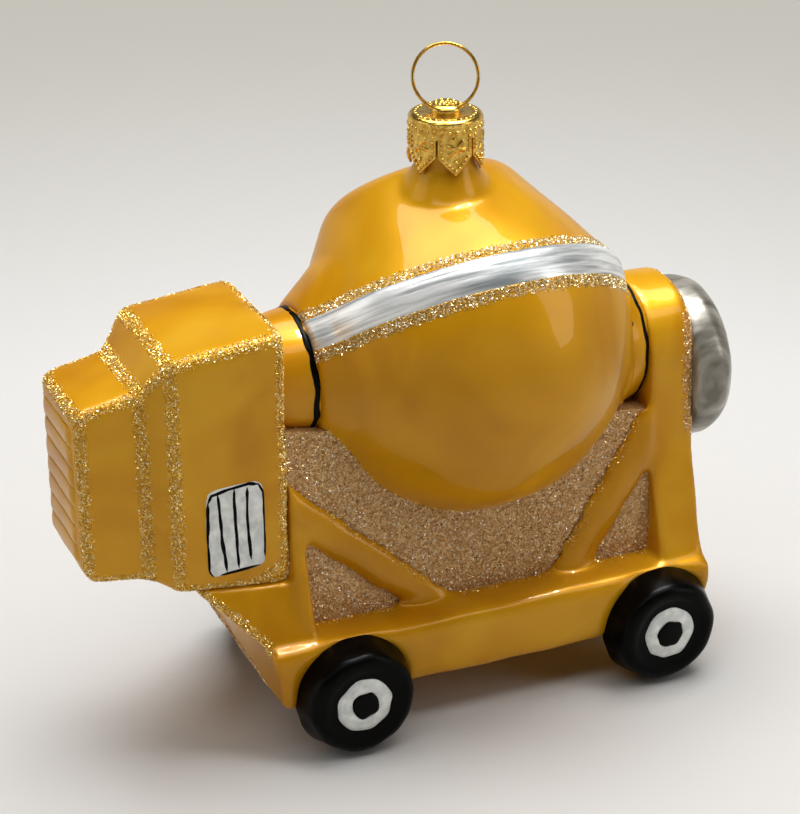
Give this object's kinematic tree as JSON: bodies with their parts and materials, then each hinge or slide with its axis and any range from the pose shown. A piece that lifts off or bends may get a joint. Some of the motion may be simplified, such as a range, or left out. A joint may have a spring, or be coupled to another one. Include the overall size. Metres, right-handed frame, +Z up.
{
  "type": "mixer-shaped glass ornament",
  "caption": "Hanging glass ornament shaped like a tilting-drum concrete mixer on wheels, with a metal cap and a hanger ring that swings.",
  "frame": {"origin": "middle of the outline on the ground plane, under the wheels", "axes": "+X from the engine end to the dome end, +Y to the side that the drum leans to, +Z up"},
  "size_m": [0.117, 0.0566, 0.11],
  "materials": {
    "lacquer": "glossy amber lacquer",
    "silver": "brushed silver paint",
    "glitter": "fine champagne glitter",
    "vent_paint": "silver white paint",
    "black_paint": "satin black paint",
    "cap_gold": "embossed gold coloured sheet",
    "wire_gold": "polished gold coloured wire"
  },
  "bodies": {
    "ornament": {"drum_bowl": "lacquer", "drum_band": "silver", "drum_cone": "lacquer", "drum_mouth": "glitter", "neck_collar": "lacquer", "engine_hub": "lacquer", "post_hub": "lacquer", "engine_housing": "lacquer", "engine_shoulder": "lacquer", "engine_hood": "lacquer", "hood_louvres": "lacquer", "vent_near": "vent_paint", "vent_far": "vent_paint", "engine_foot": "lacquer", "base": "lacquer", "engine_post": "lacquer", "dome_post": "lacquer", "web": "glitter", "strut_near_engine": "lacquer", "strut_near_dome": "lacquer", "strut_far_engine": "lacquer", "strut_far_dome": "lacquer", "silver_dome": "silver", "tyre_near_left": "black_paint", "tyre_near_right": "black_paint", "tyre_far_left": "black_paint", "tyre_far_right": "black_paint", "hub_ring_near_left": "vent_paint", "hub_ring_near_right": "vent_paint", "hub_ring_far_left": "vent_paint", "hub_ring_far_right": "vent_paint", "hub_centre_near_left": "black_paint", "hub_centre_near_right": "black_paint", "hub_centre_far_left": "black_paint", "hub_centre_far_right": "black_paint", "cap": "cap_gold", "cap_bridge": "cap_gold"},
    "ring": {"hanger_ring": "wire_gold"}
  },
  "joints": [
    {"name": "ring_swing", "type": "hinge", "parent": "ornament", "child": "ring", "pos_m": [0.0089, 0.00098, 0.1001], "axis": [0.9205, -0.3907, 0], "range_deg": [-60, 100]}
  ]
}
